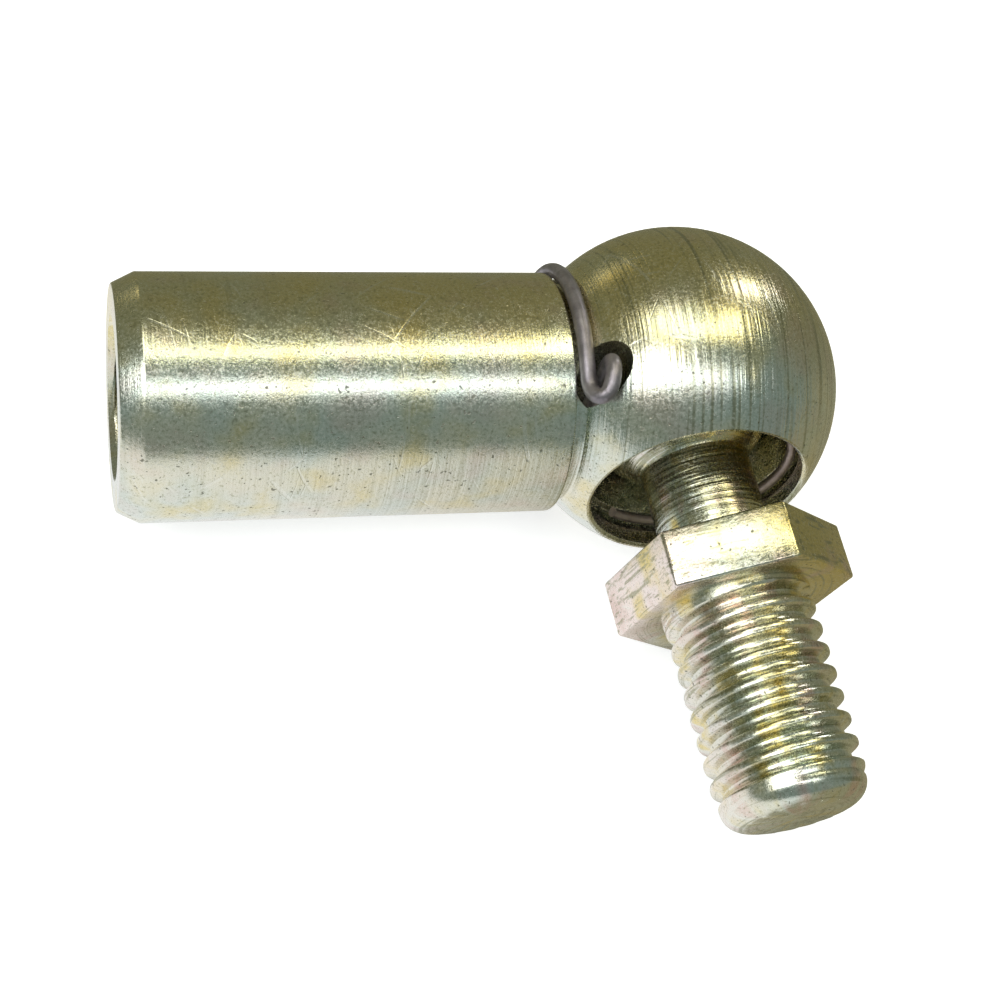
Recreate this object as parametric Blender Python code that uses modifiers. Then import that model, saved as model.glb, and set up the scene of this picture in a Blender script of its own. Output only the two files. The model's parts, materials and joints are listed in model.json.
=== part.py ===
"""Angle ball joint for a threaded rod: a turned socket housing with a cross-drilled spherical head,
a ball stud with a hexagonal collar and a rolled thread, a spring ring and a wire safety catch.

World frame, metres: the origin is the centre of the shank's open end face, +X runs along the shank
to the ball centre, the stud points to -Y through the opening, and +Z is up from the side on which
the part is laid down.
"""

import math

import bmesh
import bpy
from mathutils import Matrix, Vector

MM = 0.001

# Shank of the socket housing, a turned bar with a blind rod thread
SHANK_D = 13.0 * MM
SHANK_CHAMFER_LENGTH = 1.2 * MM
SHANK_CHAMFER_DEPTH = 0.6 * MM
BALL_CENTRE_X = 30.6 * MM
BORE_DEPTH = 16.0 * MM
BORE_TIP_LENGTH = 1.9 * MM
BORE_MOUTH_WIDER = 0.6 * MM
BORE_MOUTH_DEPTH = 0.6 * MM

# Rod thread in the shank and stud thread, both M8 coarse
THREAD_D = 8.0 * MM
THREAD_PITCH = 1.25 * MM
THREAD_DEPTH = 0.7 * MM
CREST_SHARE = 0.125
ROOT_SHARE = 0.25
ROD_THREAD_TURNS = 10

# Spherical head round the socket, with its opening
HEAD_WALL = 3.25 * MM
OPENING_BEYOND_SOCKET = 0.9 * MM
OPENING_EDGE = 0.15 * MM

# Ball stud
BALL_D = 11.2 * MM
NECK_D = 6.0 * MM
NECK_FILLET = 0.9 * MM
FILLET_SINK = 0.05 * MM
COLLAR_CLEAR_OF_HEAD = 1.05 * MM
COLLAR_HEIGHT = 3.1 * MM
COLLAR_ACROSS_FLATS = 11.2 * MM
COLLAR_EDGE = 0.12 * MM
COLLAR_TURN = math.radians(40.7)
RUNOUT_LENGTH = 0.25 * MM
RUNOUT_STAND_OUT = 0.03 * MM
THREADED_LENGTH = 11.6 * MM
STUD_TIP_CHAMFER = 0.95 * MM
STUD_LEAN_TO_X = math.radians(5.1)
STUD_LEAN_TO_MINUS_Z = math.radians(5.8)

# Spring ring in its groove inside the opening
RING_WIRE_D = 0.55 * MM
RING_BACK_FROM_OPENING = 1.6 * MM
RING_STAND_IN = 0.5 * MM
RING_FREE_END = math.radians(126.0)
RING_GAP = math.radians(32.0)

# Wire safety catch: around the neck groove, through the cross hole and across the socket
CATCH_WIRE_D = 0.85 * MM
NECK_GROOVE_DEPTH = 0.6 * MM
CATCH_SHARE_IN_GROOVE = 2 / 3
CATCH_SHOULDER_CLEARANCE = 0.1233 * MM
CROSS_HOLE_WIDER = 1.85 * MM
CROSS_HOLE_BEHIND_LEG = 0.37 * MM
CROSS_HOLE_BELOW_LEG = 0.4 * MM
CATCH_LEG_CLEARANCE = 0.3 * MM
CATCH_LEG_BELOW_BALL = 2.45 * MM
CATCH_LOOP_DROP = 2.05 * MM
CATCH_LOOP_STAND_OFF = 0.35 * MM
CATCH_ARC_START = math.radians(-33.0)
CATCH_ARC_END = math.radians(200.0)

# Clearances
BALL_CLEARANCE = 0.2 * MM
RING_CLEARANCE = 0.3 * MM
WIRE_CLEARANCE = 0.3 * MM

# Facets of the turned shapes
TURN_STEPS = 40
STUD_STEPS = 32
THREAD_STEPS = 24
MERGE = 1e-6

# Sizes that follow from the ones above
BALL_CENTRE = Vector((BALL_CENTRE_X, 0.0, 0.0))
SOCKET_R = BALL_D / 2 + BALL_CLEARANCE
HEAD_D = 2 * (SOCKET_R + HEAD_WALL)
OPENING_Y = -(SOCKET_R + OPENING_BEYOND_SOCKET)
COLLAR_TOP = HEAD_D / 2 + COLLAR_CLEAR_OF_HEAD
STUD_END = COLLAR_TOP + COLLAR_HEIGHT + THREADED_LENGTH
RING_CENTRE_R = SOCKET_R - RING_STAND_IN + RING_WIRE_D / 2
RING_CENTRE_Y = OPENING_Y + RING_BACK_FROM_OPENING
CATCH_LEG_BEHIND_BALL = math.sqrt(
    (BALL_D / 2 + CATCH_LEG_CLEARANCE + CATCH_WIRE_D / 2) ** 2 - CATCH_LEG_BELOW_BALL**2
)
NECK_GROOVE_D = SHANK_D - 2 * NECK_GROOVE_DEPTH
NECK_GROOVE_WIDTH = CATCH_SHARE_IN_GROOVE * CATCH_WIRE_D + CATCH_SHOULDER_CLEARANCE
CROSS_HOLE_D = CATCH_WIRE_D + CROSS_HOLE_WIDER
CROSS_HOLE_BEHIND_BALL = CATCH_LEG_BEHIND_BALL + CROSS_HOLE_BEHIND_LEG
CROSS_HOLE_BELOW_BALL = CATCH_LEG_BELOW_BALL + CROSS_HOLE_BELOW_LEG

PARTS = "rod_end_joint"
CUTTERS = "cutters"


def clear_scene():
    for item in list(bpy.data.objects):
        bpy.data.objects.remove(item, do_unlink=True)
    for name in (PARTS, CUTTERS):
        group = bpy.data.collections.new(name)
        bpy.context.scene.collection.children.link(group)


def add_to(group, item):
    bpy.data.collections[group].objects.link(item)
    if group == CUTTERS:
        item.hide_render = True
        item.display_type = "WIRE"
    return item


def plain_material(name, color, roughness, metallic):
    material = bpy.data.materials.new(name)
    material.use_nodes = True
    shader = material.node_tree.nodes["Principled BSDF"]
    shader.inputs["Base Color"].default_value = (*color, 1.0)
    shader.inputs["Roughness"].default_value = roughness
    shader.inputs["Metallic"].default_value = metallic
    return material


def arc(centre_r, centre_z, radius, start, end, count):
    """Points (r, z) on an arc; the angle is measured from the +Z direction towards +r."""
    angles = [start + (end - start) * i / count for i in range(count + 1)]
    return [(centre_r + radius * math.sin(a), centre_z + radius * math.cos(a)) for a in angles]


def screw_object(name, profile, steps, group, rise=0.0, turns=1):
    """A profile of (r, z) points turned about local Z, as a Screw modifier."""
    mesh = bpy.data.meshes.new(name)
    edges = [(i, i + 1) for i in range(len(profile) - 1)]
    mesh.from_pydata([(r, 0.0, z) for r, z in profile], edges, [])
    item = add_to(group, bpy.data.objects.new(name, mesh))
    screw = item.modifiers.new("turned", "SCREW")
    screw.axis = "Z"
    screw.steps = steps
    screw.render_steps = steps
    screw.screw_offset = rise
    screw.iterations = turns
    screw.use_merge_vertices = True
    screw.merge_threshold = MERGE
    return item


def baked_mesh(item):
    """The evaluated mesh of an object, which is then removed."""
    bpy.context.view_layer.update()
    evaluated = item.evaluated_get(bpy.context.evaluated_depsgraph_get())
    mesh = bpy.data.meshes.new_from_object(evaluated)
    bpy.data.objects.remove(item, do_unlink=True)
    return mesh


def combine(item, operation, other):
    modifier = item.modifiers.new(other.name, "BOOLEAN")
    modifier.operation = operation
    modifier.solver = "EXACT"
    modifier.object = other


def thread_rod(name, root_r, crest_r, top, turns):
    """A closed rod with a right-hand thread that starts at height top and runs down local Z."""
    flank = (1.0 - CREST_SHARE - ROOT_SHARE) / 2
    shares = [(0.0, root_r), (ROOT_SHARE, root_r), (ROOT_SHARE + flank, crest_r)]
    shares += [(ROOT_SHARE + flank + CREST_SHARE, crest_r), (1.0, root_r)]
    profile = [(r, top - share * THREAD_PITCH) for share, r in shares]
    helix = screw_object(name, profile, THREAD_STEPS, CUTTERS, -THREAD_PITCH, turns)
    # A left-hand mirror image of the downward screw is the right-hand thread.
    mesh = baked_mesh(helix)
    shape = bmesh.new()
    shape.from_mesh(mesh)
    bmesh.ops.remove_doubles(shape, verts=shape.verts, dist=MERGE)
    bmesh.ops.scale(shape, vec=(1.0, -1.0, 1.0), verts=shape.verts)
    for z, first in ((top + THREAD_PITCH / 2, True), (top - (turns + 1.5) * THREAD_PITCH, False)):
        apex = shape.verts.new((0.0, 0.0, z))
        middle = top - (turns + 1) * THREAD_PITCH / 2
        rim = [e for e in shape.edges if e.is_boundary and (e.verts[0].co.z > middle) == first]
        for edge in rim:
            shape.faces.new((*edge.verts, apex))
    bmesh.ops.recalc_face_normals(shape, faces=shape.faces)
    shape.to_mesh(mesh)
    shape.free()
    return add_to(CUTTERS, bpy.data.objects.new(name, mesh))


def smooth(item, angle=35.0):
    for polygon in item.data.polygons:
        polygon.use_smooth = True
    item.data.set_sharp_from_angle(angle=math.radians(angle))


def wire(name, points, diameter):
    """A round wire along a list of points, with filled and welded ends."""
    curve = bpy.data.curves.new(name, "CURVE")
    curve.dimensions = "3D"
    spline = curve.splines.new("POLY")
    spline.points.add(len(points) - 1)
    for target, point in zip(spline.points, points):
        target.co = (*point, 1.0)
    curve.bevel_depth = diameter / 2
    curve.bevel_resolution = 2
    curve.use_fill_caps = True
    mesh = baked_mesh(add_to(PARTS, bpy.data.objects.new(name + "_path", curve)))
    shape = bmesh.new()
    shape.from_mesh(mesh)
    bmesh.ops.remove_doubles(shape, verts=shape.verts, dist=MERGE)
    bmesh.ops.recalc_face_normals(shape, faces=shape.faces)
    shape.to_mesh(mesh)
    shape.free()
    bpy.data.curves.remove(curve)
    mesh.name = name
    item = add_to(PARTS, bpy.data.objects.new(name, mesh))
    smooth(item, 50.0)
    return item


def rounded_path(corners, spacing):
    """Evenly dense points on a smooth curve through the corner points."""
    ends = [2 * corners[0] - corners[1]] + corners + [2 * corners[-1] - corners[-2]]
    points = []
    for before, a, b, after in zip(ends, ends[1:], ends[2:], ends[3:]):
        count = max(2, round((b - a).length / spacing))
        for i in range(count):
            t = i / count
            points.append(
                0.5
                * (
                    2 * a
                    + (b - before) * t
                    + (2 * before - 5 * a + 4 * b - after) * t**2
                    + (3 * a - before - 3 * b + after) * t**3
                )
            )
    return points + [corners[-1]]


def along_x():
    """Turns local Z to +X."""
    return Matrix.Rotation(math.radians(90.0), 4, "Y")


def along_y():
    """Turns local Z to +Y."""
    return Matrix.Rotation(math.radians(-90.0), 4, "X")


def make_housing():
    head_r = HEAD_D / 2
    groove_r = NECK_GROOVE_D / 2
    shank_r = SHANK_D / 2
    head_end = math.pi - math.asin(groove_r / head_r)
    groove_start = BALL_CENTRE_X + head_r * math.cos(head_end) - NECK_GROOVE_WIDTH
    profile = arc(0.0, BALL_CENTRE_X, head_r, 0.0, head_end, 11)
    profile += [(groove_r, groove_start), (shank_r, groove_start)]
    profile += [(shank_r, SHANK_CHAMFER_LENGTH), (shank_r - SHANK_CHAMFER_DEPTH, 0.0), (0.0, 0.0)]
    housing = screw_object("socket_housing", profile, TURN_STEPS, PARTS)
    housing.matrix_world = along_x()
    for cutter in (socket_cutter(), cross_hole_cutter(), bore_cutter(), rod_thread_cutter()):
        combine(housing, "DIFFERENCE", cutter)
    housing.data.materials.append(plain_material("plated_steel", (0.52, 0.50, 0.30), 0.35, 1.0))
    return housing


def socket_cutter():
    """The socket, its ring groove and the flat cut of the opening, turned about the opening's axis."""
    head_r = HEAD_D / 2
    groove_r = RING_CENTRE_R + RING_WIRE_D / 2 + RING_CLEARANCE
    groove_half = RING_WIRE_D / 2 + RING_CLEARANCE
    profile = arc(0.0, 0.0, SOCKET_R, 0.0, math.pi / 2, 7)
    profile += [(SOCKET_R, RING_CENTRE_Y + groove_half), (groove_r, RING_CENTRE_Y + groove_half)]
    profile += [(groove_r, RING_CENTRE_Y - groove_half), (SOCKET_R, RING_CENTRE_Y - groove_half)]
    profile += [(SOCKET_R, OPENING_Y + OPENING_EDGE), (SOCKET_R + OPENING_EDGE, OPENING_Y)]
    profile += [(2 * head_r, OPENING_Y), (2 * head_r, -2 * head_r), (0.0, -2 * head_r)]
    cutter = screw_object("socket_cut", profile, TURN_STEPS, CUTTERS)
    cutter.matrix_world = Matrix.Translation(BALL_CENTRE) @ along_y()
    return cutter


def cross_hole_cutter():
    mesh = bpy.data.meshes.new("cross_hole_cut")
    shape = bmesh.new()
    radius = CROSS_HOLE_D / 2
    bmesh.ops.create_cone(
        shape, cap_ends=True, segments=STUD_STEPS, radius1=radius, radius2=radius, depth=2 * HEAD_D
    )
    shape.to_mesh(mesh)
    shape.free()
    cutter = add_to(CUTTERS, bpy.data.objects.new("cross_hole_cut", mesh))
    cutter.location = BALL_CENTRE + Vector((-CROSS_HOLE_BEHIND_BALL, -CROSS_HOLE_BELOW_BALL, 0.0))
    return cutter


def bore_cutter():
    bore_r = THREAD_D / 2 - THREAD_DEPTH
    mouth_r = THREAD_D / 2 + BORE_MOUTH_WIDER / 2
    profile = [(0.0, BORE_DEPTH + BORE_TIP_LENGTH), (bore_r, BORE_DEPTH), (bore_r, BORE_MOUTH_DEPTH)]
    profile += [(mouth_r, 0.0), (mouth_r, -BORE_MOUTH_DEPTH), (0.0, -BORE_MOUTH_DEPTH)]
    cutter = screw_object("bore_cut", profile, TURN_STEPS, CUTTERS)
    cutter.matrix_world = along_x()
    return cutter


def rod_thread_cutter():
    """Its root is sunk into the bore by a tenth of the thread's depth, so only the grooves cut."""
    root_r = THREAD_D / 2 - 1.1 * THREAD_DEPTH
    top = ROD_THREAD_TURNS * THREAD_PITCH
    cutter = thread_rod("rod_thread_cut", root_r, THREAD_D / 2, top, ROD_THREAD_TURNS)
    cutter.matrix_world = along_x()
    return cutter


def stud_placement():
    """From the stud's own frame, with its thread along local -Z, to its leaning rest position."""
    lean = Vector((math.tan(STUD_LEAN_TO_X), -1.0, -math.tan(STUD_LEAN_TO_MINUS_Z))).normalized()
    tilt = Vector((0.0, -1.0, 0.0)).rotation_difference(lean).to_matrix().to_4x4()
    return Matrix.Translation(BALL_CENTRE) @ tilt @ along_y()


def make_ball_stud():
    ball_r = BALL_D / 2
    neck_r = NECK_D / 2
    thread_r = THREAD_D / 2
    thread_top = COLLAR_TOP + COLLAR_HEIGHT / 3
    neck_end = COLLAR_TOP + 2 * COLLAR_HEIGHT / 3
    placement = stud_placement()

    # Threaded end, trimmed by a turned envelope with the chamfered tip
    start = -(thread_top - 2 * THREAD_PITCH)
    turns = math.ceil((STUD_END + start) / THREAD_PITCH) + 1
    stud = thread_rod("ball_stud", thread_r - THREAD_DEPTH, thread_r, start, turns)
    bpy.data.collections[CUTTERS].objects.unlink(stud)
    bpy.data.collections[PARTS].objects.link(stud)
    stud.hide_render = False
    stud.display_type = "TEXTURED"
    envelope = [(0.0, -thread_top), (1.1 * thread_r, -thread_top)]
    envelope += [(1.1 * thread_r, -STUD_END + STUD_TIP_CHAMFER + 0.1 * thread_r)]
    envelope += [(thread_r - STUD_TIP_CHAMFER, -STUD_END), (0.0, -STUD_END)]
    trim = screw_object("stud_trim", envelope, STUD_STEPS, CUTTERS)

    # Ball and neck, turned down into the collar
    ball_end = math.pi - math.asin(neck_r / ball_r)
    foot_r = neck_r + NECK_FILLET
    fillet_z = NECK_FILLET - COLLAR_TOP - FILLET_SINK
    turned = arc(0.0, 0.0, ball_r, 0.0, ball_end, 11)
    turned += arc(foot_r, fillet_z, NECK_FILLET, -math.pi / 2, -math.pi, 3)
    # A thin plain runout past the collar, so that a plate with a plain hole can seat on its face
    runout_r = thread_r + RUNOUT_STAND_OUT
    runout_end = COLLAR_TOP + COLLAR_HEIGHT + RUNOUT_LENGTH
    turned += [(foot_r, -neck_end), (runout_r, -neck_end), (runout_r, -runout_end), (0.0, -runout_end)]
    head = screw_object("ball_and_neck", turned, STUD_STEPS, CUTTERS)

    # Hexagonal collar
    mesh = bpy.data.meshes.new("collar")
    shape = bmesh.new()
    corner_r = COLLAR_ACROSS_FLATS / math.sqrt(3.0)
    bmesh.ops.create_cone(
        shape, cap_ends=True, segments=6, radius1=corner_r, radius2=corner_r, depth=COLLAR_HEIGHT
    )
    shape.to_mesh(mesh)
    shape.free()
    collar = add_to(CUTTERS, bpy.data.objects.new("collar", mesh))
    bevel = collar.modifiers.new("edges", "BEVEL")
    bevel.width = COLLAR_EDGE
    bevel.segments = 2
    middle = Matrix.Translation((0.0, 0.0, -COLLAR_TOP - COLLAR_HEIGHT / 2))
    # The first corner of a six-sided cone primitive lies on local +Y.
    collar.matrix_world = placement @ middle @ Matrix.Rotation(COLLAR_TURN - math.pi / 2, 4, "Z")

    for item in (stud, trim, head):
        item.matrix_world = placement
    combine(stud, "INTERSECT", trim)
    combine(stud, "UNION", head)
    combine(stud, "UNION", collar)
    stud.data.materials.append(plain_material("plated_stud", (0.55, 0.50, 0.32), 0.32, 1.0))
    return stud


def make_spring_ring():
    count = 44
    sweep = 2 * math.pi - RING_GAP
    points = []
    for i in range(count + 1):
        angle = RING_FREE_END - sweep * i / count
        radial = Vector((math.cos(angle), 0.0, -math.sin(angle))) * RING_CENTRE_R
        points.append(BALL_CENTRE + Vector((0.0, RING_CENTRE_Y, 0.0)) + radial)
    ring = wire("spring_ring", points, RING_WIRE_D)
    ring.data.materials.append(plain_material("ring_wire", (0.42, 0.38, 0.36), 0.4, 1.0))
    return ring


def catch_arc_point(angle, x):
    """A point on the catch's arc round the neck; the angle runs from +Z over +Y."""
    radius = NECK_GROOVE_D / 2 + WIRE_CLEARANCE + CATCH_WIRE_D / 2
    return Vector((x, radius * math.sin(angle), radius * math.cos(angle)))


def make_safety_catch():
    head_r = HEAD_D / 2
    floor_edge = math.sqrt(head_r**2 - (NECK_GROOVE_D / 2) ** 2)
    arc_x = BALL_CENTRE_X - floor_edge - (CATCH_SHARE_IN_GROOVE - 0.5) * CATCH_WIRE_D
    leg_x = BALL_CENTRE_X - CATCH_LEG_BEHIND_BALL
    leg_y = -CATCH_LEG_BELOW_BALL
    hole_mouth_z = math.sqrt(head_r**2 - CROSS_HOLE_BEHIND_BALL**2 - CROSS_HOLE_BELOW_BALL**2)
    loop_z = hole_mouth_z + CATCH_WIRE_D / 2 + CATCH_LOOP_STAND_OFF

    # Straight leg through both walls of the head, below the ball
    corners = [Vector((leg_x, leg_y, -hole_mouth_z)), Vector((leg_x, leg_y, 0.0))]
    corners.append(Vector((leg_x, leg_y, hole_mouth_z - CATCH_WIRE_D / 4)))
    # Loop in front of the cross hole: out, down and back to the neck groove
    corners.append(Vector((leg_x, leg_y - 0.2 * CATCH_LOOP_DROP, loop_z)))
    corners.append(Vector((leg_x - 0.1 * MM, leg_y - 0.55 * CATCH_LOOP_DROP, loop_z)))
    turn = catch_arc_point(CATCH_ARC_START, arc_x)
    corners.append(Vector(((2 * leg_x + arc_x) / 3, leg_y - 0.95 * CATCH_LOOP_DROP, loop_z - 0.5 * MM)))
    low_z = (loop_z + turn.z) / 2 - 0.2 * MM
    corners.append(Vector(((leg_x + 3 * arc_x) / 4, leg_y - CATCH_LOOP_DROP, low_z)))
    points = rounded_path(corners + [turn], 0.5 * MM)[:-1]
    # Arc over the top of the neck to the far side
    count = 34
    for i in range(count + 1):
        angle = CATCH_ARC_START + (CATCH_ARC_END - CATCH_ARC_START) * i / count
        points.append(catch_arc_point(angle, arc_x))
    catch = wire("safety_catch", points, CATCH_WIRE_D)
    catch.data.materials.append(plain_material("catch_wire", (0.23, 0.21, 0.23), 0.5, 1.0))
    return catch


def main():
    clear_scene()
    make_housing()
    make_ball_stud()
    make_spring_ring()
    make_safety_catch()


main()
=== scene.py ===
"""Looks of the rod end bearing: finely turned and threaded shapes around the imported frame,
yellow-passivated zinc plating with turning marks, pits and scratches, and soft studio light."""

import json
import math

import bmesh
import bpy
from mathutils import Matrix, Vector


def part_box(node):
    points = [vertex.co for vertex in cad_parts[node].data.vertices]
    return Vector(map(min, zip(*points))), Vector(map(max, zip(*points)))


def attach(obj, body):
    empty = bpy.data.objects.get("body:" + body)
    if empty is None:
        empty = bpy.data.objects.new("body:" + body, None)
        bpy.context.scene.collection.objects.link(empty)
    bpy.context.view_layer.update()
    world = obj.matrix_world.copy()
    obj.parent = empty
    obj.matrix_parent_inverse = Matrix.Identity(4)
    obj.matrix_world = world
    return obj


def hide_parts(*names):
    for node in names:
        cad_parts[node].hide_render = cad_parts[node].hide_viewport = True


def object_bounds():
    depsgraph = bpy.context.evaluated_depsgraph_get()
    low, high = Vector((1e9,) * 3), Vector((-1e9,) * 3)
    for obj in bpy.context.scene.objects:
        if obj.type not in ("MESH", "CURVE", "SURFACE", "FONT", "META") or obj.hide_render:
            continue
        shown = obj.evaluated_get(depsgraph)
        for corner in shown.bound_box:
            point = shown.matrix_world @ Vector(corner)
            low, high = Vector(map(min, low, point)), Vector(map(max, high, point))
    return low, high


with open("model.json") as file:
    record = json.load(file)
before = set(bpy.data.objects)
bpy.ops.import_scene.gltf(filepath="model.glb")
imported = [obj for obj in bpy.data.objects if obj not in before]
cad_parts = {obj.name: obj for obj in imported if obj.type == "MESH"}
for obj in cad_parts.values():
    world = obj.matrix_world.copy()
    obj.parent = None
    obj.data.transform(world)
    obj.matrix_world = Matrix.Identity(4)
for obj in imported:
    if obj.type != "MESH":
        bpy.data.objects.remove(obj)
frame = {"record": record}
CAD_BOX = [list(corner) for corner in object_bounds()]
RECORD = frame["record"]
JOINTS = {joint["name"]: joint for joint in RECORD["behaviour"]["joints"]}
MOUNTS = {mount["name"]: mount for mount in RECORD["mounts"]}

MM = 0.001

# Places read from the frame
BALL_CENTRE = Vector(JOINTS["stud_swivel"]["pos_m"])
STUD_AXIS = Vector(MOUNTS["stud_tip_face"]["axis"]).normalized()
STUD_END = (Vector(MOUNTS["stud_tip_face"]["pos_m"]) - BALL_CENTRE).length
HEAD_R = Vector(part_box("socket_housing")[1]).x - BALL_CENTRE.x
FLOOR_Z = CAD_BOX[0][2]

# Socket housing
SHANK_R = 6.5 * MM
SHANK_CHAMFER_LENGTH = 1.2 * MM
SHANK_CHAMFER_DEPTH = 0.6 * MM
SHANK_CHAMFER_ROUNDING = 0.35 * MM
SHANK_END_ROUNDING = 0.16 * MM
GROOVE_R = 5.9 * MM
GROOVE_WIDTH = 0.69 * MM
GROOVE_HEAD_FILLET = 0.15 * MM
GROOVE_SHANK_FILLET = 0.12 * MM
GROOVE_SHOULDER_ROUNDING = 0.14 * MM
GROOVE_SHOULDER_LENGTH = 1.5 * MM
HEAD_ARC_TRIM = 0.03
ROW_SPACING = 1.5 * MM
BORE_DEPTH = 16.0 * MM
BORE_TIP_LENGTH = 1.9 * MM
BORE_MOUTH_R = 4.3 * MM
BORE_MOUTH_DEPTH = 0.6 * MM
SOCKET_R = 5.8 * MM
OPENING_Y = -6.7 * MM
OPENING_EDGE = 0.15 * MM
OPENING_INNER_ROUNDING = 0.06 * MM
OPENING_OUTER_ROUNDING = 0.05 * MM
RING_GROOVE_EDGE_ROUNDING = 0.08 * MM
RING_GROOVE_FLOOR_FILLET = 0.12 * MM
CROSS_HOLE_R = 1.35 * MM
CROSS_HOLE_BEHIND_BALL = 6.2 * MM
CROSS_HOLE_BELOW_BALL = 2.85 * MM

# Threads, M8 coarse; the flat of the root and the rounding of the crest are shares of the height
THREAD_R = 4.0 * MM
THREAD_DEPTH = 0.7 * MM
THREAD_PITCH = 1.25 * MM
THREAD_ROOT_FLAT = 0.12
THREAD_FLANK = 0.80
THREAD_CREST_ROUNDING = 0.12
ROD_THREAD_TURNS = 10

# Ball stud
BALL_R = 5.6 * MM
NECK_R = 3.0 * MM
NECK_FILLET = 0.9 * MM
FILLET_SINK = 0.05 * MM
NECK_ROOT_DROP = 0.12 * MM
NECK_ROOT_FILLET = 0.15 * MM
BALL_ARC_TRIM = 0.02
COLLAR_TOP = 10.1 * MM
COLLAR_HEIGHT = 3.1 * MM
COLLAR_ACROSS_FLATS = 11.2 * MM
COLLAR_TURN = math.radians(40.7)
COLLAR_EDGE = 0.16 * MM
STUD_TIP_CHAMFER = 1.15 * MM
STUD_TIP_R = 2.6 * MM
TIP_BLANK_R = 3.85 * MM
TIP_FADE = 0.7 * MM
STUD_THREAD_DEPTH = 0.54 * MM
RUNOUT_LENGTH = 0.25 * MM
RUNOUT_STAND_OUT = 0.03 * MM

# Spring ring
RING_WIRE_R = 0.275 * MM
RING_CENTRE_R = 5.575 * MM
RING_Y = -5.1 * MM
RING_FREE_END = math.radians(126.0)
RING_GAP = math.radians(32.0)

# Safety catch
CATCH_WIRE_R = 0.425 * MM
CATCH_LEG_CLEARANCE = 0.3 * MM
CATCH_LEG_BELOW_BALL = 2.45 * MM
CATCH_LOOP_DROP = 2.05 * MM
CATCH_LOOP_STAND_OFF = 0.35 * MM
CATCH_LOOP_SLIP = 0.1 * MM
CATCH_LOOP_FALL = 0.5 * MM
CATCH_LOOP_DIP = 0.2 * MM
CATCH_POINT_SPACING = 0.14 * MM
CATCH_EASING_PASSES = 10
CATCH_ARC_START = math.radians(-33.0)
CATCH_ARC_END = math.radians(200.0)
WIRE_CLEARANCE = 0.3 * MM

# Facets of the fine shapes
TURN_STEPS = 144
STUD_STEPS = 112
THREAD_STEPS = 96
ROWS_PER_PITCH = 16
HEAD_ARC_STEPS = 48
BALL_ARC_STEPS = 40
CROSS_HOLE_STEPS = 64
TRIM_STEPS = 16
WIRE_STEPS = 120

# Shortest distances: vertices that are one, in metres, and boolean slivers, in millimetres
WELD = 1e-6
SLIVER = 1e-4

# Stage and lamps
STAGE_SIZE = 3.0
FLOOR_DROP = 0.02 * MM
FLOOR_GLOW = 0.66
BACKDROP_GLOW = 0.8
LAMP_DISTANCE = 0.42

# Camera: its place, its turn in degrees, and its lens and sensor in millimetres
CAMERA_PLACE = Vector((-5.24, -54.36, 78.49)) * MM
CAMERA_TURN = (32.42, -11.97, -9.45)
CAMERA_LENS = 65.3
CAMERA_SENSOR = 36.0
CAMERA_CLIP_START = 0.005


# ---------------------------------------------------------------- shapes


def arc(centre_r, centre_z, radius, start, end, count):
    """Points (r, z) on an arc; the angle is measured from +Z towards +r."""
    angles = [start + (end - start) * i / count for i in range(count + 1)]
    return [(centre_r + radius * math.sin(a), centre_z + radius * math.cos(a)) for a in angles]


def rounded(corners, count=5):
    """A polyline with its corners rounded; each corner is (r, z, rounding radius)."""
    points = []
    for i, (r, z, radius) in enumerate(corners):
        here = Vector((r, z))
        if radius == 0.0 or i in (0, len(corners) - 1):
            points.append((r, z))
            continue
        before = Vector(corners[i - 1][:2]) - here
        after = Vector(corners[i + 1][:2]) - here
        half = before.angle(after) / 2
        reach = min(radius / math.tan(half), 0.48 * before.length, 0.48 * after.length)
        first = here + before.normalized() * reach
        last = here + after.normalized() * reach
        for k in range(count + 1):
            t = k / count
            spot = first * (1 - t) ** 2 + here * (2 * t * (1 - t)) + last * t**2
            points.append((spot.x, spot.y))
    return points


def spaced(start, end, step):
    """Points between two (r, z) points about one step apart, both ends left out."""
    count = max(1, round((Vector(end) - Vector(start)).length / step))
    return [tuple(Vector(start).lerp(Vector(end), i / count)) for i in range(1, count)]


def new_object(name, mesh):
    item = bpy.data.objects.new(name, mesh)
    bpy.context.scene.collection.objects.link(item)
    return item


def mesh_from(shape, name):
    bmesh.ops.recalc_face_normals(shape, faces=shape.faces)
    mesh = bpy.data.meshes.new(name)
    shape.to_mesh(mesh)
    shape.free()
    return mesh


def turned(name, profile, steps, placement):
    """A closed solid: a profile of (r, z) points from pole to pole, turned about local Z."""
    shape = bmesh.new()
    rings = []
    for r, z in profile:
        if r < WELD:
            rings.append([shape.verts.new((0.0, 0.0, z))])
            continue
        angles = (2 * math.pi * i / steps for i in range(steps))
        rings.append([shape.verts.new((r * math.cos(a), r * math.sin(a), z)) for a in angles])
    for upper, lower in zip(rings, rings[1:]):
        for i in range(steps):
            j = (i + 1) % steps
            above = upper[i % len(upper)], upper[j % len(upper)]
            below = lower[i % len(lower)], lower[j % len(lower)]
            corners = (above[0], below[0], below[1], above[1])
            shape.faces.new(list(dict.fromkeys(corners)))
    item = new_object(name, mesh_from(shape, name))
    item.data.transform(placement)
    return item


def thread_height(share):
    """Height of a rolled thread, 0 at the root and 1 at the crest, at a share of one pitch."""
    wave = 0.5 - 0.5 * math.cos(2 * math.pi * share)
    flank = min(1.0, max(0.0, (wave - THREAD_ROOT_FLAT) / THREAD_FLANK))
    return flank * (1.0 - THREAD_CREST_ROUNDING * flank**4) / (1.0 - THREAD_CREST_ROUNDING)


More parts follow.
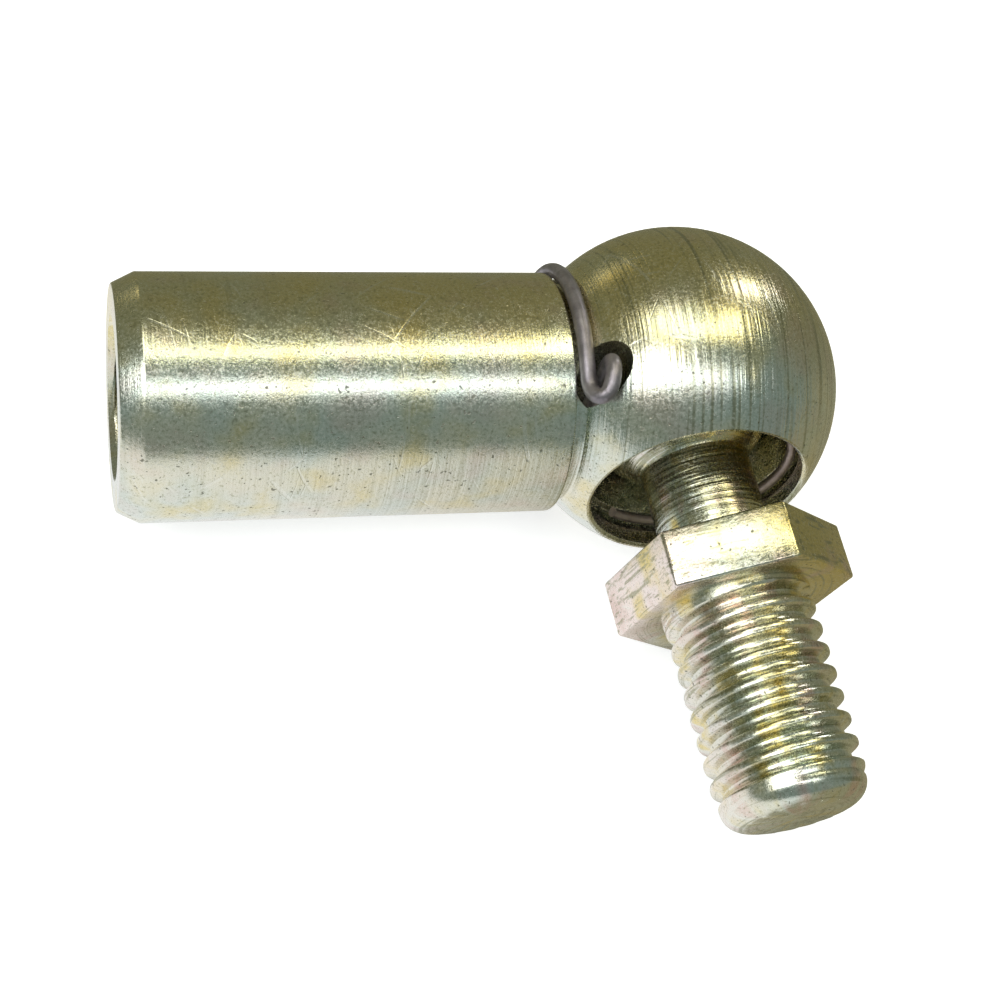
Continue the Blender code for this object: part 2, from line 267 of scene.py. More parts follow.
def helical(name, radius_at, top, bottom, apexes, placement):
    """A closed solid whose rows climb like a right-hand thread, from height top down local Z.

    radius_at(share of the pitch, z) gives the radius, and apexes the two heights on the axis
    that its spiral ends are drawn together to.
    """
    shape = bmesh.new()
    count = math.ceil((top - bottom) / THREAD_PITCH * ROWS_PER_PITCH)
    rows = []
    for k in range(count + 1):
        row = []
        for i in range(THREAD_STEPS):
            angle = 2 * math.pi * i / THREAD_STEPS
            z = top - (k / ROWS_PER_PITCH + i / THREAD_STEPS) * THREAD_PITCH
            r = radius_at((k % ROWS_PER_PITCH) / ROWS_PER_PITCH, z)
            row.append(shape.verts.new((r * math.cos(angle), -r * math.sin(angle), z)))
        rows.append(row)
    for upper, lower in zip(rows, rows[1:]):
        for i in range(THREAD_STEPS - 1):
            shape.faces.new((upper[i], upper[i + 1], lower[i + 1], lower[i]))
    for k in range(count - ROWS_PER_PITCH):
        ahead = k + ROWS_PER_PITCH
        shape.faces.new((rows[k][-1], rows[ahead][0], rows[ahead + 1][0], rows[k + 1][-1]))
    middle = (top + bottom) / 2
    for z, upper_end in zip(apexes, (True, False)):
        apex = shape.verts.new((0.0, 0.0, z))
        rim = [e for e in shape.edges if e.is_boundary and (e.verts[0].co.z > middle) == upper_end]
        for edge in rim:
            shape.faces.new((*edge.verts, apex))
    item = new_object(name, mesh_from(shape, name))
    item.data.transform(placement)
    return item


def hexagon(name, placement):
    """The collar's hexagonal bar with all its edges bevelled a little."""
    corner_r = COLLAR_ACROSS_FLATS / math.sqrt(3.0)
    shape = bmesh.new()
    bmesh.ops.create_cone(
        shape, cap_ends=True, segments=6, radius1=corner_r, radius2=corner_r, depth=COLLAR_HEIGHT
    )
    item = new_object(name, mesh_from(shape, name))
    bevel = item.modifiers.new("edges", "BEVEL")
    bevel.width = COLLAR_EDGE
    bevel.segments = 3
    middle = Matrix.Translation((0.0, 0.0, -COLLAR_TOP - COLLAR_HEIGHT / 2))
    bake_modifiers(item)
    item.data.transform(placement @ middle @ Matrix.Rotation(COLLAR_TURN - math.pi / 2, 4, "Z"))
    return item


def bake_modifiers(item):
    bpy.context.view_layer.update()
    evaluated = item.evaluated_get(bpy.context.evaluated_depsgraph_get())
    mesh = bpy.data.meshes.new_from_object(evaluated)
    item.modifiers.clear()
    item.data = mesh


def combine(item, steps):
    """Applies boolean steps of (operation, other object) in order; the others are used up.

    The solver is surest on meshes a few units across, so the steps run in millimetres.
    """
    for piece in (item, *(other for _, other in steps)):
        piece.data.transform(Matrix.Scale(1 / MM, 4))
    for operation, other in steps:
        modifier = item.modifiers.new(other.name, "BOOLEAN")
        modifier.operation = operation
        modifier.solver = "EXACT"
        modifier.object = other
        bake_modifiers(item)
        shape = bmesh.new()
        shape.from_mesh(item.data)
        bmesh.ops.dissolve_degenerate(shape, dist=SLIVER, edges=shape.edges)
        shape.to_mesh(item.data)
        shape.free()
        bpy.data.objects.remove(other, do_unlink=True)
    item.data.transform(Matrix.Scale(MM, 4))


def smooth(item, angle=28.0):
    for polygon in item.data.polygons:
        polygon.use_smooth = True
    item.data.set_sharp_from_angle(angle=math.radians(angle))


def wire(name, points, radius):
    curve = bpy.data.curves.new(name, "CURVE")
    curve.dimensions = "3D"
    spline = curve.splines.new("POLY")
    spline.points.add(len(points) - 1)
    for target, point in zip(spline.points, points):
        target.co = (*point, 1.0)
    curve.bevel_depth = radius
    curve.bevel_resolution = 7
    curve.use_fill_caps = True
    item = new_object(name, curve)
    bpy.context.view_layer.update()
    evaluated = item.evaluated_get(bpy.context.evaluated_depsgraph_get())
    mesh = bpy.data.meshes.new_from_object(evaluated)
    bpy.data.objects.remove(item, do_unlink=True)
    shape = bmesh.new()
    shape.from_mesh(mesh)
    bmesh.ops.remove_doubles(shape, verts=shape.verts, dist=WELD)
    item = new_object(name, mesh_from(shape, name))
    smooth(item, 50.0)
    return item


def rounded_path(corners, spacing):
    """Evenly dense points on a smooth curve through the corner points."""
    ends = [2 * corners[0] - corners[1]] + corners + [2 * corners[-1] - corners[-2]]
    points = []
    for before, a, b, after in zip(ends, ends[1:], ends[2:], ends[3:]):
        count = max(2, round((b - a).length / spacing))
        for i in range(count):
            t = i / count
            points.append(
                0.5
                * (
                    2 * a
                    + (b - before) * t
                    + (2 * before - 5 * a + 4 * b - after) * t**2
                    + (3 * a - before - 3 * b + after) * t**3
                )
            )
    return points + [corners[-1]]


def eased(points, passes):
    """The same path with its kinks drawn out, as wire bends; the ends stay."""
    for _ in range(passes):
        middle = [(a + 2 * b + c) / 4 for a, b, c in zip(points, points[1:], points[2:])]
        points = [points[0], *middle, points[-1]]
    return points


ALONG_X = Matrix.Rotation(math.radians(90.0), 4, "Y")
ALONG_Y = Matrix.Rotation(math.radians(-90.0), 4, "X")
STUD_TILT = Vector((0.0, -1.0, 0.0)).rotation_difference(STUD_AXIS).to_matrix().to_4x4()
STUD_PLACE = Matrix.Translation(BALL_CENTRE) @ STUD_TILT @ ALONG_Y


def make_housing():
    groove_end = BALL_CENTRE.x - math.sqrt(HEAD_R**2 - GROOVE_R**2)
    groove_start = groove_end - GROOVE_WIDTH
    head_end = math.pi - math.asin(GROOVE_R / HEAD_R) - HEAD_ARC_TRIM
    profile = arc(0.0, BALL_CENTRE.x, HEAD_R, 0.0, head_end, HEAD_ARC_STEPS)
    neck = [
        (*profile[-1], 0.0),
        (GROOVE_R, groove_end, GROOVE_HEAD_FILLET),
        (GROOVE_R, groove_start, GROOVE_SHANK_FILLET),
        (SHANK_R, groove_start, GROOVE_SHOULDER_ROUNDING),
        (SHANK_R, groove_start - GROOVE_SHOULDER_LENGTH, 0.0),
    ]
    profile = profile[:-1] + rounded(neck)
    end = rounded(
        [
            (*profile[-1], 0.0),
            (SHANK_R, SHANK_CHAMFER_LENGTH, SHANK_CHAMFER_ROUNDING),
            (SHANK_R - SHANK_CHAMFER_DEPTH, 0.0, SHANK_END_ROUNDING),
            (0.0, 0.0, 0.0),
        ]
    )
    profile += spaced(profile[-1], end[1], ROW_SPACING) + end[1:]
    housing = turned("housing_fine", profile, TURN_STEPS, ALONG_X)
    cutters = [bore_cutter(), socket_cutter(), cross_hole_cutter()]
    combine(housing, [("DIFFERENCE", cutter) for cutter in cutters])
    smooth(housing)
    return housing


def socket_cutter():
    groove_r = RING_CENTRE_R + RING_WIRE_R + WIRE_CLEARANCE
    groove_half = RING_WIRE_R + WIRE_CLEARANCE
    profile = arc(0.0, 0.0, SOCKET_R, 0.0, math.pi / 2, HEAD_ARC_STEPS // 2)
    lower = [
        (SOCKET_R, 0.0, 0.0),
        (SOCKET_R, RING_Y + groove_half, RING_GROOVE_EDGE_ROUNDING),
        (groove_r, RING_Y + groove_half, RING_GROOVE_FLOOR_FILLET),
        (groove_r, RING_Y - groove_half, RING_GROOVE_FLOOR_FILLET),
        (SOCKET_R, RING_Y - groove_half, RING_GROOVE_EDGE_ROUNDING),
        (SOCKET_R, OPENING_Y + OPENING_EDGE, OPENING_INNER_ROUNDING),
        (SOCKET_R + OPENING_EDGE, OPENING_Y, OPENING_OUTER_ROUNDING),
        (2 * HEAD_R, OPENING_Y, 0.0),
        (2 * HEAD_R, -2 * HEAD_R, 0.0),
        (0.0, -2 * HEAD_R, 0.0),
    ]
    place = Matrix.Translation(BALL_CENTRE) @ ALONG_Y
    return turned("socket_cut", profile[:-1] + rounded(lower, 4), TURN_STEPS, place)


def cross_hole_cutter():
    past = 2 * HEAD_R
    profile = [(0.0, past), (CROSS_HOLE_R, past), (CROSS_HOLE_R, -past), (0.0, -past)]
    offset = Vector((-CROSS_HOLE_BEHIND_BALL, -CROSS_HOLE_BELOW_BALL, 0.0))
    place = Matrix.Translation(BALL_CENTRE + offset)
    return turned("cross_hole_cut", profile, CROSS_HOLE_STEPS, place)


def bore_cutter():
    """The blind bore, its thread, which fades out before the bottom, and the countersunk mouth."""
    bore_r = THREAD_R - THREAD_DEPTH
    thread_end = ROD_THREAD_TURNS * THREAD_PITCH

    def radius_at(share, z):
        fade = min(1.0, max(0.0, (thread_end - z) / THREAD_PITCH))
        countersink = min(BORE_MOUTH_R - z, BORE_MOUTH_R + BORE_MOUTH_DEPTH)
        return max(bore_r + THREAD_DEPTH * fade * thread_height(share), countersink)

    outside = -4 * BORE_MOUTH_DEPTH
    apexes = (BORE_DEPTH + BORE_TIP_LENGTH, outside - THREAD_PITCH)
    return helical("bore_cut", radius_at, BORE_DEPTH, outside, apexes, ALONG_X)


def make_stud():
    neck_end = COLLAR_TOP + COLLAR_HEIGHT / 4
    thread_start = COLLAR_TOP + COLLAR_HEIGHT / 3
    runout_end = COLLAR_TOP + COLLAR_HEIGHT + RUNOUT_LENGTH
    tip_start = STUD_END - STUD_TIP_CHAMFER

    def radius_at(share, z):
        if z > -runout_end:
            return THREAD_R + RUNOUT_STAND_OUT
        past = min(1.0, max(0.0, (-z - tip_start) / STUD_TIP_CHAMFER))
        tip = STUD_TIP_R + (TIP_BLANK_R - STUD_TIP_R) * math.sqrt(1.0 - past**2)
        threaded = THREAD_R - STUD_THREAD_DEPTH * (1.0 - thread_height(share))
        fade = min(1.0, max(0.0, (-z - tip_start) / TIP_FADE + 1.0))
        return threaded + (tip - threaded) * fade

    bottom = -STUD_END - THREAD_PITCH
    apexes = (-thread_start + 0.1 * MM, -STUD_END - 2 * THREAD_PITCH)
    stud = helical("stud_fine", radius_at, -thread_start, bottom, apexes, STUD_PLACE)
    side = 2 * COLLAR_ACROSS_FLATS
    block = [(0.0, 0.0), (side, 0.0), (side, -STUD_END), (0.0, -STUD_END)]
    trim = turned("stud_trim", block, TRIM_STEPS, STUD_PLACE)

    ball_end = math.pi - math.asin(NECK_R / BALL_R)
    foot_r = NECK_R + NECK_FILLET
    foot_z = NECK_FILLET - COLLAR_TOP - FILLET_SINK
    root_z = BALL_R * math.cos(ball_end) - NECK_ROOT_DROP
    profile = arc(0.0, 0.0, BALL_R, 0.0, ball_end - BALL_ARC_TRIM, BALL_ARC_STEPS)
    neck = [(*profile[-1], 0.0), (NECK_R, root_z, NECK_ROOT_FILLET), (NECK_R, foot_z, 0.0)]
    profile = profile[:-1] + rounded(neck)[:-1]
    profile += arc(foot_r, foot_z, NECK_FILLET, -math.pi / 2, -math.pi, 10)
    profile += [(foot_r, -neck_end), (0.0, -neck_end)]
    head = turned("ball_and_neck", profile, STUD_STEPS, STUD_PLACE)
    collar = hexagon("collar", STUD_PLACE)
    combine(stud, [("INTERSECT", trim), ("UNION", collar), ("UNION", head)])
    smooth(stud)
    return stud


def make_ring():
    sweep = 2 * math.pi - RING_GAP
    points = []
    for i in range(WIRE_STEPS + 1):
        angle = RING_FREE_END - sweep * i / WIRE_STEPS
        radial = Vector((math.cos(angle), 0.0, -math.sin(angle))) * RING_CENTRE_R
        points.append(BALL_CENTRE + Vector((0.0, RING_Y, 0.0)) + radial)
    return wire("ring_fine", points, RING_WIRE_R)


def catch_arc_point(angle, x):
    radius = GROOVE_R + WIRE_CLEARANCE + CATCH_WIRE_R
    return Vector((x, radius * math.sin(angle), radius * math.cos(angle)))


def make_catch():
    arc_x = BALL_CENTRE.x - math.sqrt(HEAD_R**2 - GROOVE_R**2) - CATCH_WIRE_R / 3
    clear_r = BALL_R + CATCH_LEG_CLEARANCE + CATCH_WIRE_R
    leg_x = BALL_CENTRE.x - math.sqrt(clear_r**2 - CATCH_LEG_BELOW_BALL**2)
    leg_y = -CATCH_LEG_BELOW_BALL
    hole_mouth_z = math.sqrt(HEAD_R**2 - CROSS_HOLE_BEHIND_BALL**2 - CROSS_HOLE_BELOW_BALL**2)
    loop_z = hole_mouth_z + CATCH_WIRE_R + CATCH_LOOP_STAND_OFF
    turn = catch_arc_point(CATCH_ARC_START, arc_x)
    fall_x = (2 * leg_x + arc_x) / 3
    dip_x = (leg_x + 3 * arc_x) / 4
    dip_z = (loop_z + turn.z) / 2 - CATCH_LOOP_DIP
    corners = [
        Vector((leg_x, leg_y, -hole_mouth_z)),
        Vector((leg_x, leg_y, 0.0)),
        Vector((leg_x, leg_y, hole_mouth_z - CATCH_WIRE_R / 2)),
        Vector((leg_x, leg_y - 0.2 * CATCH_LOOP_DROP, loop_z)),
        Vector((leg_x - CATCH_LOOP_SLIP, leg_y - 0.55 * CATCH_LOOP_DROP, loop_z)),
        Vector((fall_x, leg_y - 0.95 * CATCH_LOOP_DROP, loop_z - CATCH_LOOP_FALL)),
        Vector((dip_x, leg_y - CATCH_LOOP_DROP, dip_z)),
        turn,
    ]
    points = rounded_path(corners, CATCH_POINT_SPACING)[:-1]
    sweep = CATCH_ARC_END - CATCH_ARC_START
    for i in range(WIRE_STEPS + 1):
        points.append(catch_arc_point(CATCH_ARC_START + sweep * i / WIRE_STEPS, arc_x))
    return wire("catch_fine", eased(points, CATCH_EASING_PASSES), CATCH_WIRE_R)


# ------------------------------------------------------------- materials


class Shader:
    """A Principled material built up from small helpers; noise scales are per metre."""

    def __init__(self, name):
        self.material = bpy.data.materials.new(name)
        self.material.use_nodes = True
        self.tree = self.material.node_tree
        self.out = self.tree.nodes["Principled BSDF"]

    def add(self, kind, **settings):
        node = self.tree.nodes.new(kind)
        for key, value in settings.items():
            setattr(node, key, value)
        return node

    def put(self, socket, value):
        if isinstance(value, bpy.types.NodeSocket):
            self.tree.links.new(value, socket)
        else:
            socket.default_value = value

    def math(self, operation, a, b=0.0):
        node = self.add("ShaderNodeMath", operation=operation)
        self.put(node.inputs[0], a)
        self.put(node.inputs[1], b)
        return node.outputs[0]

    def span(self, value, low, high, to_low=0.0, to_high=1.0):
        node = self.add("ShaderNodeMapRange", interpolation_type="SMOOTHSTEP")
        for socket, number in zip(node.inputs[:5], (value, low, high, to_low, to_high)):
            self.put(socket, number)
        return node.outputs[0]

    def vector(self, x, y, z):
        node = self.add("ShaderNodeCombineXYZ")
        for socket, number in zip(node.inputs, (x, y, z)):
            self.put(socket, number)
        return node.outputs[0]

    def along(self, point, direction):
        node = self.add("ShaderNodeVectorMath", operation="DOT_PRODUCT")
        self.put(node.inputs[0], point)
        node.inputs[1].default_value = direction
        return node.outputs["Value"]

    def noise(self, at, scale, detail=2.0, roughness=0.5):
        node = self.add("ShaderNodeTexNoise")
        self.put(node.inputs["Vector"], at)
        node.inputs["Scale"].default_value = scale
        node.inputs["Detail"].default_value = detail
        node.inputs["Roughness"].default_value = roughness
        return node.outputs[0]

    def mix(self, share, a, b):
        node = self.add("ShaderNodeMix", data_type="RGBA")
        self.put(node.inputs["Factor"], share)
        self.put(node.inputs["A"], a if isinstance(a, bpy.types.NodeSocket) else (*a, 1.0))
        self.put(node.inputs["B"], b if isinstance(b, bpy.types.NodeSocket) else (*b, 1.0))
        return node.outputs["Result"]

    def bump(self, height, distance, normal=None):
        node = self.add("ShaderNodeBump")
        node.inputs["Distance"].default_value = distance
        node.inputs["Strength"].default_value = 1.0
        self.put(node.inputs["Height"], height)
        if normal is not None:
            self.put(node.inputs["Normal"], normal)
        return node.outputs[0]


# Colours of the plating's film, and of the reflections painted on it
# OLIVE is also the painted shade in the low parts of the turning marks
OLIVE = (0.31, 0.31, 0.19)
# GOLD is also the colour of a painted golden reflection of the warm overhead light
GOLD = (0.78, 0.64, 0.25)
STRAW = (0.77, 0.76, 0.62)
SAGE = (0.65, 0.72, 0.65)
ROSE = (0.76, 0.58, 0.52)
# Pale pink of the painted reflection of the white floor
FLOOR_REFLECTION_PINK = (0.95, 0.80, 0.76)
PALE = (0.86, 0.86, 0.78)
GRIME = (0.08, 0.08, 0.055)

# Colours of the wires
RING_STEEL, RING_DARK = (0.50, 0.42, 0.40), (0.36, 0.29, 0.28)
CATCH_STEEL, CATCH_DARK = (0.36, 0.33, 0.36), (0.24, 0.22, 0.24)
WIRE_FLECK = (0.45, 0.41, 0.44)

# Sizes of the plating's marks, in cells per metre
FINE_MARKS = 8200.0
COARSE_MARKS = 3600.0
SPECKLES = 6400.0
PITS = 4300.0
SCRATCH_PATCHES = 330.0
SCRATCH_LENGTH = 160.0
SCRATCH_WIDTH = 4200.0
FILM_CLOUDS = 300.0
FILM_SHADES = 230.0

# Colours of what the metal mirrors
WARM_BEHIND = (0.19, 0.195, 0.135)
GREY_IN_FRONT = (0.22, 0.26, 0.24)
WHITE_PAPER = (0.98, 0.99, 1.0)
SHADED_PAPER = (0.31, 0.29, 0.19)


def plating(name, axis, turning, speckle_depth, overhead_reflection, floor_reflection, tints):
    """Yellow-passivated zinc on a piece turned about an axis: (point, unit direction).

    turning is the turning marks' depth, with the two places along the axis between which it
    changes: (depth before, depth after, start, end). overhead_reflection says on which side the
    film gets a painted golden reflection of the warm overhead light, and floor_reflection on which
    side it gets a painted pale pink reflection of the white floor: (direction, start, end,
    strongest share). tints is how far the film's colours stray.
    """
    s = Shader(name)
    centre, direction = axis
    side = direction.orthogonal().normalized()
    other = direction.cross(side)
    where = s.add("ShaderNodeTexCoord").outputs["Object"]
    offset = s.add("ShaderNodeVectorMath", operation="SUBTRACT")
    s.put(offset.inputs[0], where)
    offset.inputs[1].default_value = centre
    local = offset.outputs[0]
    length, u, v = (s.along(local, d) for d in (direction, side, other))
    radius = s.math("SQRT", s.math("ADD", s.math("MULTIPLY", u, u), s.math("MULTIPLY", v, v)))
    angle = s.math("ARCTAN2", v, u)

    def turned_noise(per_metre, per_radian, detail):
        at = s.vector(
            s.math("MULTIPLY", length, per_metre),
            s.math("MULTIPLY", radius, per_metre),
            s.math("MULTIPLY", angle, per_radian),
        )
        return s.noise(at, 1.0, detail, 0.6)

    # Turning marks: narrow across the tool's path, long along it
    fine = turned_noise(FINE_MARKS, 0.9, 2.0)
    coarse = turned_noise(COARSE_MARKS, 0.5, 1.0)
    marks = s.math("ADD", s.math("MULTIPLY", fine, 0.45), s.math("MULTIPLY", coarse, 0.55))
    depth_before, depth_after, start, end = turning
    depth = s.span(length, start, end, depth_before / depth_after, 1.0)
    marks_height = s.math("MULTIPLY", s.math("SUBTRACT", marks, 0.5), depth)

    # Speckle of the plating and small dark pits
    speckle = s.noise(local, SPECKLES, 3.0, 0.75)
    pit = s.span(s.noise(local, PITS, 1.0, 0.5), 0.68, 0.75)

    # Hairline scratches in three directions, each kept to a few patches
    lines = []
    patches = s.span(s.noise(local, SCRATCH_PATCHES, 1.0), 0.50, 0.60)
    for turn, seed in ((0.35, 0.0), (-0.75, 7.3), (1.25, 3.1)):
        a = s.math("MULTIPLY_ADD", length, math.cos(turn))
        s.put(a.node.inputs[2], s.math("MULTIPLY", u, math.sin(turn)))
        b = s.math("MULTIPLY_ADD", length, -math.sin(turn))
        s.put(b.node.inputs[2], s.math("MULTIPLY", v, math.cos(turn)))
        lengthwise = s.math("MULTIPLY", a, SCRATCH_LENGTH)
        stretched = s.vector(lengthwise, s.math("MULTIPLY", b, SCRATCH_WIDTH), seed)
        lines.append(s.span(s.noise(stretched, 1.0, 0.0), 0.71, 0.78))
    any_line = s.math("MAXIMUM", s.math("MAXIMUM", *lines[:2]), lines[2])
    scratch = s.math("MULTIPLY", any_line, patches)

    # Film colours in soft clouds, drawn out a little round the axis, and painted reflections on
    # two sides
    film_a = turned_noise(FILM_CLOUDS, 2.2, 2.0)
    film_b = s.noise(local, FILM_SHADES, 2.0, 0.5)
    # Painted reflections: how much painted golden reflection of the overhead light and painted
    # pale pink reflection of the floor each side gets
    overhead_reflection_share, floor_reflection_share = (
        s.span(s.along(local, toward), start, end, 0.0, share)
        for toward, start, end, share in (overhead_reflection, floor_reflection)
    )
    color = s.mix(s.span(film_b, 0.38, 0.64), SAGE, STRAW)
    # Painted golden reflection of the warm overhead light on one side
    color = s.mix(s.math("MULTIPLY", overhead_reflection_share, s.span(film_b, 0.25, 0.55, 0.55, 1.0)), color, GOLD)
    # Painted pale pink reflection of the white floor on one side
    color = s.mix(floor_reflection_share, color, FLOOR_REFLECTION_PINK)
    color = s.mix(s.span(film_a, 0.50, 0.72, 0.0, tints), color, ROSE)
    color = s.mix(s.span(film_a, 0.52, 0.28, 0.0, 0.3 + 0.7 * tints), color, GOLD)
    # Painted shade: the low parts of the turning marks darkened towards olive
    color = s.mix(s.span(marks_height, 0.0, -0.14, 0.0, 0.75), color, OLIVE)
    color = s.mix(s.span(speckle, 0.47, 0.32, 0.0, 0.6), color, OLIVE)
    color = s.mix(s.span(speckle, 0.53, 0.68, 0.0, 0.6), color, PALE)
    color = s.mix(s.math("MULTIPLY", pit, 0.6), color, GRIME)
    color = s.mix(s.math("MULTIPLY", scratch, 0.45), color, PALE)
    s.put(s.out.inputs["Base Color"], color)

    rough = s.span(speckle, 0.30, 0.70, 0.15, 0.30)
    s.put(s.out.inputs["Roughness"], s.math("ADD", rough, s.math("MULTIPLY", pit, 0.25)))
    normal = s.bump(marks_height, depth_after)
    normal = s.bump(speckle, speckle_depth, normal=normal)
    normal = s.bump(s.math("MAXIMUM", pit, scratch), -0.6 * speckle_depth, normal=normal)
    s.put(s.out.inputs["Normal"], normal)
    s.out.inputs["Metallic"].default_value = 1.0
    return s.material


def spring_wire(name, color, dark, roughness):
    """Bare drawn steel with cloudy dark oxide and a fine grain."""
    s = Shader(name)
    where = s.add("ShaderNodeTexCoord").outputs["Object"]
    cloud = s.noise(where, 900.0, 3.0, 0.6)
    grain = s.noise(where, 7000.0, 2.0, 0.6)
    base = s.mix(s.span(cloud, 0.35, 0.65), dark, color)
    flecked = s.mix(s.span(grain, 0.6, 0.75, 0.0, 0.5), base, WIRE_FLECK)
    s.put(s.out.inputs["Base Color"], flecked)
    s.put(s.out.inputs["Roughness"], s.span(grain, 0.3, 0.7, roughness - 0.08, roughness + 0.1))
    s.put(s.out.inputs["Normal"], s.bump(grain, 0.02 * MM))
    s.out.inputs["Metallic"].default_value = 0.85
    return s.material


# ------------------------------------------------------------------ stage


def pale_paper(name, glow):
    """Matt white that glows a little, so that shadows on it stay faint."""
    s = Shader(name)
    where = s.add("ShaderNodeTexCoord").outputs["Object"]
    shades = s.mix(s.noise(where, 60.0), (0.90, 0.90, 0.90), (0.92, 0.92, 0.92))
    s.put(s.out.inputs["Base Color"], shades)
    s.out.inputs["Roughness"].default_value = 0.9
    s.out.inputs["Emission Color"].default_value = (0.95, 0.96, 1.0, 1.0)
    s.out.inputs["Emission Strength"].default_value = glow
    return s.material


def make_stage():
    """A pale floor and a pale backdrop all round; the metal mirrors the surroundings instead."""
    shape = bmesh.new()
    bmesh.ops.create_grid(shape, x_segments=1, y_segments=1, size=STAGE_SIZE)
    floor = new_object("floor", mesh_from(shape, "floor"))
    floor.location = (BALL_CENTRE.x / 2, 0.0, FLOOR_Z - FLOOR_DROP)
    floor.data.materials.append(pale_paper("floor", FLOOR_GLOW))
    floor.visible_glossy = False
    shape = bmesh.new()
    bmesh.ops.create_uvsphere(shape, u_segments=48, v_segments=24, radius=STAGE_SIZE)
    backdrop = new_object("backdrop", mesh_from(shape, "backdrop"))
    backdrop.data.materials.append(pale_paper("backdrop", BACKDROP_GLOW))
    backdrop.visible_glossy = False
    backdrop.visible_diffuse = False
    backdrop.visible_shadow = False
    backdrop.visible_transmission = False


def soft_light(name, direction, size, brightness, color=(1.0, 1.0, 1.0)):
    """A rectangular lamp of a given brightness that faces the object from a direction."""
    lamp = bpy.data.lights.new(name, "AREA")
    lamp.shape = "RECTANGLE"
    lamp.size, lamp.size_y = size
    lamp.energy = brightness * math.pi * size[0] * size[1]
    lamp.color = color
    item = new_object(name, lamp)
    middle = Vector((BALL_CENTRE.x * 0.6, 0.0, 0.0))
    item.location = middle + Vector(direction).normalized() * LAMP_DISTANCE
    back = (item.location - middle).normalized()
    across = (Vector((1.0, 0.0, 0.0)) - back.x * back).normalized()
    item.rotation_euler = Matrix((across, back.cross(across), back)).transposed().to_euler()


def make_world():
    """What the metal mirrors: dim surroundings, warm behind and grey-green in front.

    White paper lies below the horizon. It is shaded to the right, and far behind the object the
    ground is as dark as the surroundings.
    """
    world = bpy.data.worlds.new("studio")
    world.use_nodes = True
    nodes, links = world.node_tree.nodes, world.node_tree.links
    parts = nodes.new("ShaderNodeSeparateXYZ")
    links.new(nodes.new("ShaderNodeTexCoord").outputs["Generated"], parts.inputs[0])

    def ramp(value, low, high):
        node = nodes.new("ShaderNodeMapRange")
        node.interpolation_type = "SMOOTHSTEP"
        links.new(value, node.inputs["Value"])
        node.inputs["From Min"].default_value = low
        node.inputs["From Max"].default_value = high
        return node.outputs["Result"]

    def blend(share, a, b):
        node = nodes.new("ShaderNodeMix")
        node.data_type = "RGBA"
        links.new(share, node.inputs["Factor"])
        for socket, value in ((node.inputs["A"], a), (node.inputs["B"], b)):
            if isinstance(value, tuple):
                socket.default_value = (*value, 1.0)
            else:
                links.new(value, socket)
        return node.outputs["Result"]

    slope = nodes.new("ShaderNodeMath")
    slope.operation = "MULTIPLY_ADD"
    links.new(parts.outputs["Z"], slope.inputs[0])
    slope.inputs[1].default_value = 0.9
    links.new(parts.outputs["Y"], slope.inputs[2])
    paper = nodes.new("ShaderNodeMath")
    paper.operation = "MULTIPLY"
    links.new(ramp(parts.outputs["Z"], 0.02, -0.04), paper.inputs[0])
    links.new(ramp(slope.outputs[0], 0.18, -0.12), paper.inputs[1])
    around = blend(ramp(parts.outputs["Y"], 0.4, -0.4), WARM_BEHIND, GREY_IN_FRONT)
    below = blend(ramp(parts.outputs["X"], 0.10, 0.46), WHITE_PAPER, SHADED_PAPER)
    color = blend(paper.outputs[0], around, below)
    links.new(color, nodes["Background"].inputs["Color"])
    bpy.context.scene.world = world


def make_lights():
    soft_light("overhead", (0.22, 0.09, 1.0), (0.24, 0.028), 7.0, (1.0, 0.95, 0.72))
    soft_light("front_strip", (0.16, -0.44, 0.87), (0.24, 0.06), 3.6)
    soft_light("beside_camera", (-0.50, -0.26, 0.83), (0.26, 0.18), 4.2)
    soft_light("window_right", (0.63, 0.58, 0.51), (0.07, 0.08), 8.0)
    soft_light("window_high", (0.44, 0.22, 0.87), (0.11, 0.09), 4.5, (1.0, 0.93, 0.62))
    soft_light("window_top", (-0.25, 0.24, 0.94), (0.17, 0.15), 3.2, (1.0, 0.97, 0.80))
    soft_light("window_low", (-0.33, 0.93, 0.16), (0.07, 0.05), 1.4, (1.0, 0.82, 0.45))


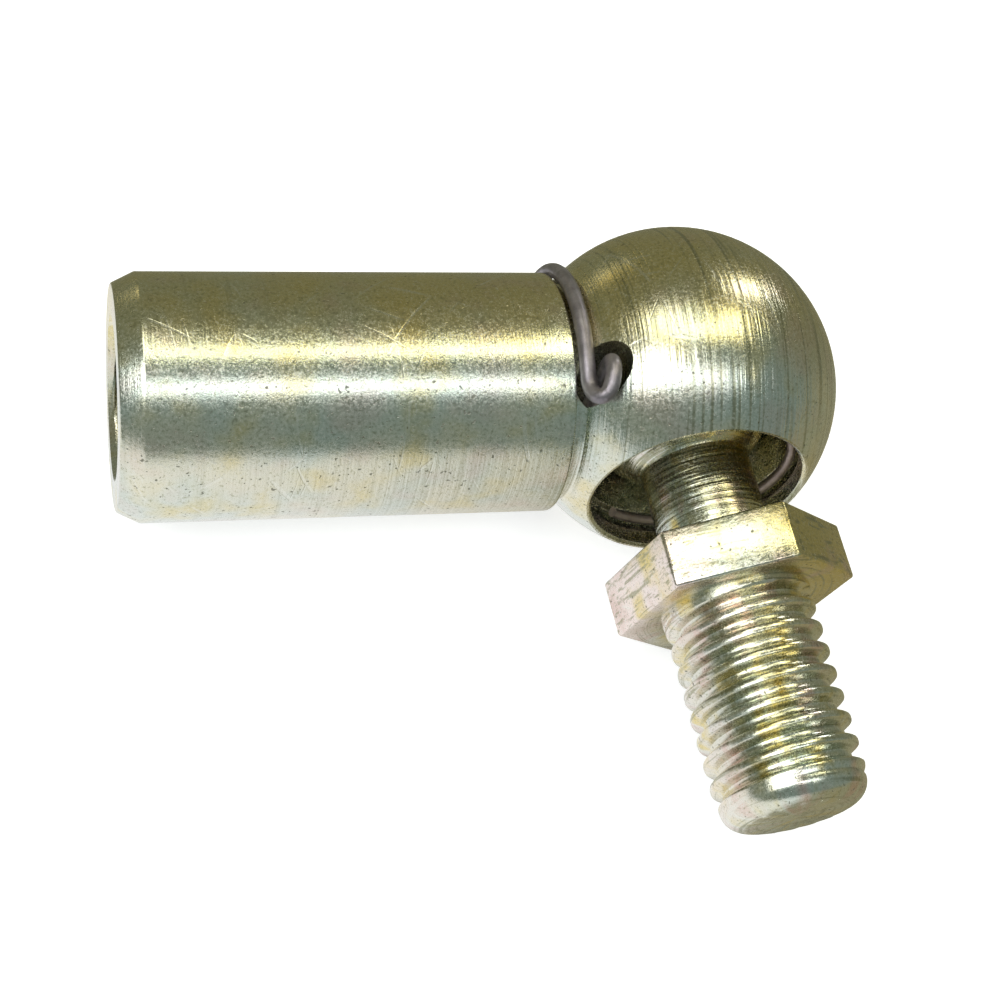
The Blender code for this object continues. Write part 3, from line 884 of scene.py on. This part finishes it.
def make_camera():
    lens = bpy.data.cameras.new("camera")
    lens.lens = CAMERA_LENS
    lens.sensor_width = CAMERA_SENSOR
    lens.clip_start = CAMERA_CLIP_START
    camera = new_object("camera", lens)
    camera.location = CAMERA_PLACE
    camera.rotation_euler = [math.radians(a) for a in CAMERA_TURN]
    bpy.context.scene.camera = camera


def show(piece, material, node, body):
    piece.data.materials.clear()
    piece.data.materials.append(material)
    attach(piece, body)
    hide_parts(node)


def main():
    bpy.context.scene.view_settings.view_transform = "Standard"
    make_camera()
    make_stage()
    make_world()
    make_lights()
    shank_axis = (Vector((0.0, 0.0, 0.0)), Vector((1.0, 0.0, 0.0)))
    stud_axis = (BALL_CENTRE, STUD_AXIS)
    head_start = BALL_CENTRE.x - HEAD_R
    housing_turning = (0.016 * MM, 0.06 * MM, head_start, BALL_CENTRE.x - HEAD_R / 3)
    stud_turning = (0.06 * MM, 0.008 * MM, COLLAR_TOP - 0.5 * MM, COLLAR_TOP)
    # Painted golden reflection of the overhead light: on the housing's upper back side and on the
    # stud's right side
    housing_overhead_reflection = ((0.0, 0.9, 0.44), -0.2 * SHANK_R, 0.8 * SHANK_R, 0.7)
    # Painted pale pink reflection of the floor: on the housing's lower front side and on the
    # stud's left side
    housing_floor_reflection = ((0.0, -0.7, -0.7), 0.0, SHANK_R, 0.15)
    stud_overhead_reflection = ((0.85, 0.3, 0.44), -0.6 * THREAD_R, 0.45 * THREAD_R, 1.0)
    stud_floor_reflection = ((-0.996, -0.089, 0.0), 0.6 * THREAD_R, 1.3 * THREAD_R, 0.8)
    housing = plating(
        "housing_plating",
        shank_axis,
        turning=housing_turning,
        speckle_depth=0.009 * MM,
        overhead_reflection=housing_overhead_reflection,
        floor_reflection=housing_floor_reflection,
        tints=0.35,
    )
    stud = plating(
        "stud_plating",
        stud_axis,
        turning=stud_turning,
        speckle_depth=0.006 * MM,
        overhead_reflection=stud_overhead_reflection,
        floor_reflection=stud_floor_reflection,
        tints=0.9,
    )
    ring = spring_wire("ring_wire", RING_STEEL, RING_DARK, roughness=0.38)
    catch = spring_wire("catch_wire", CATCH_STEEL, CATCH_DARK, roughness=0.42)
    show(make_housing(), housing, "socket_housing", "socket")
    show(make_stud(), stud, "ball_stud", "stud")
    show(make_ring(), ring, "spring_ring", "ring")
    show(make_catch(), catch, "safety_catch", "socket")


main()
